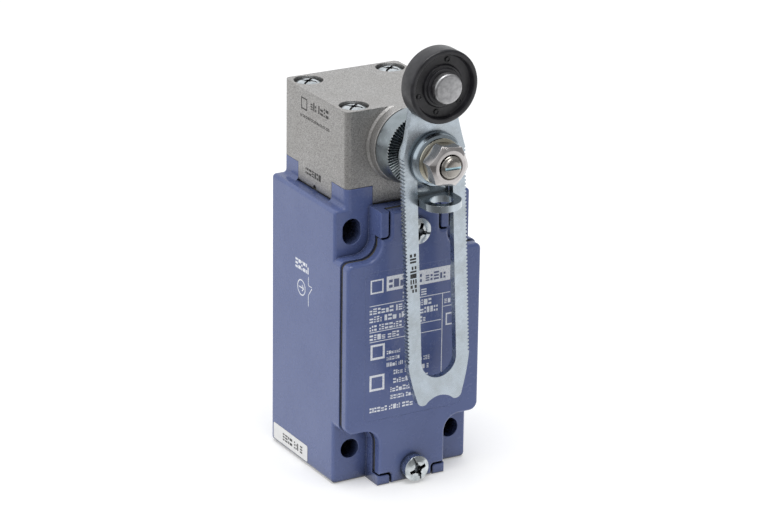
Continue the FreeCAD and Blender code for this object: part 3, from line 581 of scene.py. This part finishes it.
def build_washers():
    """The domed clamp washer, whose collar fills the slot, and the spring washer on it."""
    dish_low, dish_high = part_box("dish_washer")
    cone_low, cone_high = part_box("cone_washer")
    lever_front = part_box("lever_plate")[0].y
    bore = STUD_R + 0.05 * MM
    collar = 5.05 * MM
    radius = (dish_high.x - dish_low.x) / 2
    front = dish_low.y
    shoulder = lever_front - 0.02 * MM
    dish = ((bore, dish_high.y, 0.1), (collar, dish_high.y, 0.15), (collar, shoulder, 0),
            (radius, shoulder, 0.12), (radius, front + 1.15 * MM, 0.5),
            (6.65 * MM, front + 0.3 * MM, 0.7), (5.9 * MM, front, 0.4), (bore, front, 0.1))
    radius = (cone_high.x - cone_low.x) / 2
    cone = ((bore, cone_high.y, 0.05), (radius - 0.2 * MM, cone_high.y, 0.08),
            (radius, cone_high.y - 0.28 * MM, 0.12),
            (radius - 0.12 * MM, cone_low.y + 0.3 * MM, 0.15),
            (radius - 0.7 * MM, cone_low.y, 0.3), (bore, cone_low.y, 0.05))
    for name, node, slot, material, corners in (
            ("domed_washer", "dish_washer", "lever_zinc", DISH_ZINC, dish),
            ("spring_washer", "cone_washer", "lever_zinc", CONE_ZINC, cone)):
        corners = [(a, y, fillet * MM) for a, y, fillet in corners]
        make_piece(name, turned(SHAFT, corners, 144), "shaft_assembly", slot, material, node)


# ---- Springs that a plunger presses ----------------------------------------------------------


def build_springs():
    """Copies each spring into a piece of its own, in place of its CAD node."""
    for name, node, body in (("plunger_spring", "return_spring", "follower"),
                             ("contact_spring", "carrier_spring", "contacts")):
        data = frame["nodes"][node].data.copy()
        data.transform(frame["nodes"][node].matrix_world)
        piece = bpy.data.objects.new(name, data)
        bpy.context.scene.collection.objects.link(piece)
        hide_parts(node)
        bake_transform(piece)


# ---- Screws --------------------------------------------------------------------------------


def add_screw(mesh, tool, place, head_r, head_t, shank_r, reach, bold):
    """A cheese-head screw and the tool that cuts its cross, slot and corner ticks.
    place maps a point with z = 0 at the head's seat and the shank downwards.
    bold is the half width of the cross as a share of the head's radius."""
    crown = 0.18 * head_t
    loop = rounded_loop(((0, head_t, 0), (0.55 * head_r, head_t, 0.4 * head_r),
                         (head_r, head_t - crown, 0.25 * MM), (head_r, 0, 0.12 * MM),
                         (shank_r, 0, 0), (shank_r, 0.4 * MM - reach, 0),
                         (shank_r - 0.4 * MM, -reach, 0), (0, -reach, 0)), 4)
    steps = 72
    rings = []
    for k in range(steps):
        angle = 2 * math.pi * k / steps
        rings.append([mesh.verts.new(place(Vector((r * math.cos(angle), r * math.sin(angle), z))))
                      for r, z in loop])
    join_rings(mesh, rings)

    def cut(length, width, depth, turn, taper=0.8):
        """A bar across the head whose floor is narrower than its mouth."""
        swing = Matrix.Rotation(turn, 3, "Z")
        corners = ((-1, -1), (1, -1), (1, 1), (-1, 1))
        mouth = [tool.verts.new(place(swing @ Vector((sx * length, sy * width, head_t + 0.2 * MM))))
                 for sx, sy in corners]
        floor = [tool.verts.new(place(swing @ Vector((sx * (length - (1 - taper) * width),
                                                      sy * width * taper, head_t - depth))))
                 for sx, sy in corners]
        tool.faces.new(mouth)
        tool.faces.new(floor)
        for i in range(4):
            tool.faces.new((mouth[i - 1], mouth[i], floor[i], floor[i - 1]))

    width = bold * head_r
    deep = (0.2 + 0.26 * head_t / MM + 2.5 * bold) * MM
    cut(0.56 * head_r, width, deep, 0)
    cut(0.68 * head_r, width, deep, math.pi / 2)
    cut(1.1 * head_r, 0.075 * head_r, 0.2 * head_t + 0.2 * MM, 0, 1.0)
    for k in (1, 3):
        cut(0.33 * head_r, 0.5 * width, 0.6 * deep, k * math.pi / 4)


def build_screws():
    """Two captive cover screws, each left at its own angle, and four head screws."""
    mesh, tool = bmesh.new(), bmesh.new()
    low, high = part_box("cover_screws")
    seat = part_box("front_cover")[0].y
    radius, shank_r = 3.5 * MM, 2.0 * MM
    forward = Matrix.Rotation(math.radians(90), 3, "X")
    for z, head_t, turn in ((high.z - radius, seat - low.y - 1 * MM, -17),
                            (low.z + radius, seat - low.y, -70)):
        swing = forward @ Matrix.Rotation(math.radians(turn), 3, "Z")
        spot = Vector((0, seat, z))
        add_screw(mesh, tool, lambda p, s=swing, t=spot: t + s @ p, radius, head_t, shank_r,
                  high.y - seat, 0.15)
    piece = make_piece("cover_fasteners", mesh, "casing", "screw_steel", stands_for="cover_screws")
    # The cross and slot walls get steel darkened as painted shade.
    combine(piece, tool, material=SHADED_RECESS_STEEL)

    mesh, tool = bmesh.new(), bmesh.new()
    low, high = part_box("head_screws")
    radius, head_t = 3.6 * MM, 3.7 * MM
    swing = Matrix.Rotation(math.radians(40), 3, "Z")
    for x in (low.x + radius, high.x - radius):
        for y in (low.y + radius, high.y - radius):
            spot = Vector((x, y, high.z - head_t))
            add_screw(mesh, tool, lambda p, t=spot: t + swing @ p, radius, head_t, shank_r,
                      high.z - head_t - low.z, 0.1)
    piece = make_piece("head_fasteners", mesh, "casing", "screw_steel", stands_for="head_screws")
    # The cross and slot walls get steel darkened as painted shade.
    combine(piece, tool, material=SHADED_RECESS_STEEL)


# ---- Prints: blank blocks in place of lettering ----------------------------------------------

INK = 0.02 * MM
LABEL_SINK = 0.06 * MM


def add_bar(mesh, place, a, b):
    """An ink bar between the (low, high) pairs a and b, in millimetres."""
    outline = [(a[0] * MM, b[0] * MM), (a[1] * MM, b[0] * MM), (a[1] * MM, b[1] * MM),
               (a[0] * MM, b[1] * MM)]
    add_prism(mesh, outline, place, 0, INK)


def add_ring(mesh, place, centre, radius, width):
    """A flat ink ring, built of one closed strip."""
    steps = 40
    rings = []
    for k in range(steps):
        angle = 2 * math.pi * k / steps
        ring = []
        for r, height in ((radius - width, 0), (radius, 0), (radius, INK), (radius - width, INK)):
            ring.append(mesh.verts.new(place((centre[0] + r * math.cos(angle)) * MM,
                                             (centre[1] + r * math.sin(angle)) * MM, height)))
        rings.append(ring)
    join_rings(mesh, rings)


def add_frame(mesh, place, centre, half, width):
    """A plain square frame of ink, where the object carries a mark."""
    (a, b), inner = centre, half - width
    for side in (-1, 1):
        edge = sorted((side * half, side * inner))
        add_bar(mesh, place, (a + edge[0], a + edge[1]), (b - half, b + half))
        add_bar(mesh, place, (a - inner, a + inner), (b + edge[0], b + edge[1]))


def add_blocks(mesh, place, a, b, seed, shape=0.68):
    """A row of blank blocks between a's ends, where the object carries lettering.
    A block is solid, or two or three level bars; shape is its width to its height."""
    draw = random.Random(seed)
    position, end = a
    tall = b[1] - b[0]
    wide = shape * tall
    blocks = draw.randint(3, 7)
    while position + 0.6 * wide < end:
        right = min(position + wide * draw.choice((0.4, 0.7, 1.0)), end)
        top = b[0] + tall * draw.choice((0.74, 1.0, 1.0))
        bars = draw.choice((1, 2, 2, 3))
        pitch = (top - b[0]) / (bars - 0.45)
        for k in range(bars):
            low = b[0] + k * pitch
            add_bar(mesh, place, (position, right), (low, low + 0.55 * pitch))
        position = right + 0.26 * wide
        blocks -= 1
        if blocks == 0:
            blocks = draw.randint(3, 7)
            position += 0.5 * wide


def ink_piece(name, mesh, body, slot, ink):
    make_piece(name, mesh, body, slot, ink, flat_over=20)


def on_left_face(node):
    """Maps a point that is a towards the front and b up onto a node's left face."""
    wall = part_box(node)[0].x
    return lambda a, b, height: Vector((wall - height, -a, b))


def print_cover():
    """Square frames, a title bar, rules and rows of blank blocks on the label panel."""
    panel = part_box("front_cover")[0].y + LABEL_SINK

    def place(a, b, height):
        return Vector((a, panel - height, b))

    mesh = bmesh.new()
    for centre, half, width in (((-11.1, 16.6), 1.9, 0.4), ((11.1, 4.0), 1.7, 0.4),
                                ((-10.7, -1.4), 2.1, 0.6), ((-10.8, -9.95), 2.2, 0.6)):
        add_frame(mesh, place, centre, half, width)
    add_bar(mesh, place, (-8.3, 10.5), (14.8, 18.8))
    for a, b in (((-13.2, 10.6), (11.3, 11.5)), ((-13.15, 8.0), (4.1, 4.3)),
                 ((-13.1, 8.1), (1.4, 1.6)), ((8.25, 8.45), (-10.4, 11.3)),
                 ((8.3, 12.2), (7.6, 7.8))):
        add_bar(mesh, place, a, b)
    add_blocks(mesh, place, (-3.5, 5.4), (11.9, 14.2), 3)
    # left, right, base and height of each row, in millimetres
    rows = ((-13.2, 5.0, 9.1, 1.6), (-13.2, 7.6, 6.9, 1.6), (-13.15, 4.4, 4.6, 1.5),
            (-13.1, -4.0, 2.0, 1.5), (8.9, 10.8, 8.5, 1.6), (-8.0, -3.3, -2.6, 0.9),
            (-8.0, -3.9, -4.3, 0.9), (-8.0, 4.8, -6.1, 1.1), (-5.9, 5.0, -8.5, 1.2),
            (-6.0, 5.0, -10.95, 1.3), (-6.8, 4.6, -13.3, 1.3), (-6.8, 3.9, -15.3, 1.1),
            (-12.9, 0.7, -18.1, 1.3))
    for seed, (left, right, base, tall) in enumerate(rows):
        add_blocks(mesh, place, (left, right), (base, base + tall), seed)
    ink_piece("cover_print", mesh, "casing", "label_film", PALE_INK)

    title = bmesh.new()
    add_blocks(title, lambda a, b, h: place(a, b, h + INK), (-7.6, 9.8), (15.6, 17.8), 5)
    ink_piece("title_print", title, "casing", "casing_paint", TITLE_INK)


def print_side():
    """A blank row, a ring with an arrow and a contact symbol on the casing's left side."""
    place = on_left_face("body_casing")
    mesh = bmesh.new()
    add_blocks(mesh, place, (13.3, 22.0), (14.6, 17.2), 11, 0.5)
    add_ring(mesh, place, (16.6, 9.8), 2.2, 0.3)
    add_bar(mesh, place, (15.2, 18.0), (9.65, 9.95))
    tip_a, tip_b = 18.0, 9.8
    for side in (-1, 1):
        outline = [(tip_a, tip_b), (tip_a - 0.9, tip_b + side * 0.95),
                   (tip_a - 1.15, tip_b + side * 0.75), (tip_a - 0.35, tip_b)]
        add_prism(mesh, [(a * MM, b * MM) for a, b in outline], place, 0, 1.5 * INK)
    for b in ((11.6, 14.0), (5.8, 8.9)):
        add_bar(mesh, place, (20.3, 20.55), b)
    blade = [(20.3, 8.9), (20.55, 8.9), (22.45, 11.2), (22.2, 11.3)]
    add_prism(mesh, [(a * MM, b * MM) for a, b in blade], place, 0, 1.5 * INK)
    add_bar(mesh, place, (20.3, 22.3), (11.5, 11.7))
    ink_piece("side_print", mesh, "casing", "label_film", PALE_INK)


def print_sticker():
    """A blank row at the foot of the sticker."""
    mesh = bmesh.new()
    add_blocks(mesh, on_left_face("side_label"), (6.7, 17.6), (-37.0, -35.0), 21)
    ink_piece("sticker_print", mesh, "casing", "block_plastic", DARK_INK)


def print_head():
    """A square frame and blank rows of dark marks where the head's left side carries engraved marks."""
    place = on_left_face("head_casing")
    mesh = bmesh.new()
    add_frame(mesh, place, (11.4, 57.95), 1.6, 0.35)
    add_blocks(mesh, place, (14.9, 25.0), (57.4, 59.6), 31)
    add_blocks(mesh, place, (9.3, 25.3), (54.25, 54.95), 32)
    add_blocks(mesh, place, (12.4, 21.3), (39.4, 41.1), 33)
    ink_piece("head_print", mesh, "casing", "block_plastic", ENGRAVING_DARK)


def print_lever():
    """A blank row up the lever's left arm."""
    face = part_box("lever_plate")[0].y
    mesh = bmesh.new()
    add_blocks(mesh, lambda a, b, h: on_lever(-b, face - h, a), (-34.9, -24.0), (6.0, 7.8), 41)
    ink_piece("lever_print", mesh, "lever", "block_plastic", DARK_INK)


# ---- Floor, light and camera -------------------------------------------------------------

CAMERA_AIM = Vector((-1.35, -24.96, 15.29)) * MM
CAMERA_DISTANCE = 0.9144     # metres from the aim
CAMERA_AZIMUTH = -29.64      # degrees, negative to the left of the front
CAMERA_ELEVATION = 20.49
CAMERA_ROLL = 0.73
CAMERA_LENS = 166.65         # millimetres, on a sensor 36 mm wide
FLOOR_GAP = 0.1 * MM         # keeps the floor and the object's underside apart
MIRRORED_LIGHT = 1.25


def turned_to(back, roll=0.0):
    """Rotation that looks against back, with Z upwards, then rolled."""
    right = Vector((0, 0, 1)).cross(back).normalized()
    up = back.cross(right)
    level = Matrix((right, up, back)).transposed()
    return level @ Matrix.Rotation(math.radians(roll), 3, "Z")


def build_camera():
    a, e = math.radians(CAMERA_AZIMUTH), math.radians(CAMERA_ELEVATION)
    back = Vector((math.sin(a) * math.cos(e), -math.cos(a) * math.cos(e), math.sin(e)))
    camera = bpy.data.objects.new("camera", bpy.data.cameras.new("camera"))
    camera.data.sensor_width = 36
    camera.data.lens = CAMERA_LENS
    camera.data.clip_start = 0.01
    camera.rotation_mode = "QUATERNION"
    camera.rotation_quaternion = turned_to(back, CAMERA_ROLL).to_quaternion()
    camera.location = CAMERA_AIM + back * CAMERA_DISTANCE
    bpy.context.scene.collection.objects.link(camera)
    bpy.context.scene.camera = camera


def softbox(name, place, size, power):
    """A rectangular lamp of a size in metres and a power in watts, aimed at the object."""
    light = bpy.data.lights.new(name, "AREA")
    light.shape = "RECTANGLE"
    light.size, light.size_y = size
    light.energy = power
    lamp = bpy.data.objects.new(name, light)
    lamp.location = place
    lamp.rotation_mode = "QUATERNION"
    back = (Vector(place) - CAMERA_AIM).normalized()
    lamp.rotation_quaternion = turned_to(back).to_quaternion()
    bpy.context.scene.collection.objects.link(lamp)


def build_world():
    """A white tent behind and to the left of the object, with a darker room in front."""
    world = bpy.data.worlds.new("tent")
    world.use_nodes = True
    tree = world.node_tree
    toward = tree.nodes.new("ShaderNodeVectorMath")
    toward.operation = "DOT_PRODUCT"
    toward.inputs[1].default_value = (-0.45, 0.70, 0.10)
    tree.links.new(tree.nodes.new("ShaderNodeTexCoord").outputs["Generated"], toward.inputs[0])
    strength = smooth_step(tree, toward.outputs["Value"], -0.55, 0.40, 0.30, 1.0)
    background = tree.nodes["Background"]
    background.inputs["Color"].default_value = (0.98, 0.99, 1.0, 1)
    tree.links.new(strength, background.inputs["Strength"])
    bpy.context.scene.world = world


def build_lights():
    """One softbox in front of the object and above it, inside the tent."""
    softbox("top", (-0.05, -0.35, 1.15), (0.9, 0.6), 7)
    build_world()
    bpy.context.scene.view_settings.view_transform = "Standard"


def floor_material():
    """Nearly white. Metal mirrors it as a dimmer floor with soft dark patches, darkest on the
    left in front."""
    m = Nodes("floor")
    m.link(m.ramp(m.noise(0.3, 2), ((0.3, 0.78), (0.7, 0.80))), m.shader.inputs["Base Color"])
    glow = smooth_step(m.tree, m.along((0, 1, 0)), -0.24, -0.08, 0.0, 0.3)
    m.link(glow, m.shader.inputs["Emission Strength"])
    m.put(Roughness=0.9, Emission_Color=(1, 1, 1, 1), Specular_IOR_Level=0.1)

    across = m.calculate("ADD", m.along((2.7, 1.75, 0)), 0.68)
    patches = m.calculate("MULTIPLY", m.noise(0.08, 2), 0.5)
    seen = m.ramp(m.calculate("ADD", across, patches),
                  ((0.28, 0.14), (0.62, 0.58), (0.95, 0.92)))
    mirrored = m.add("ShaderNodeEmission")
    mirrored.inputs["Strength"].default_value = MIRRORED_LIGHT
    m.link(seen, mirrored.inputs["Color"])
    choice = m.add("ShaderNodeMixShader")
    m.link(m.add("ShaderNodeLightPath").outputs["Is Glossy Ray"], choice.inputs[0])
    m.link(m.shader.outputs[0], choice.inputs[1])
    m.link(mirrored.outputs[0], choice.inputs[2])
    m.link(choice.outputs[0], m.tree.nodes["Material Output"].inputs["Surface"])
    return m.material


def build_floor():
    """Pale floor that glows a little round the object and behind it."""
    mesh = bmesh.new()
    side, level = 6.0, cad_low.z - FLOOR_GAP
    corners = ((-side, -side), (side, -side), (side, side), (-side, side))
    mesh.faces.new([mesh.verts.new((x, y, level)) for x, y in corners])
    data = bpy.data.meshes.new("floor")
    mesh.to_mesh(data)
    mesh.free()
    floor = bpy.data.objects.new("floor", data)
    data.materials.append(floor_material())
    bpy.context.scene.collection.objects.link(floor)


dress_cad_nodes()
build_roller()
build_axle()
build_nut()
build_shaft()
build_washers()
build_springs()
build_screws()
print_cover()
print_side()
print_sticker()
print_head()
print_lever()
build_floor()
build_lights()
build_camera()
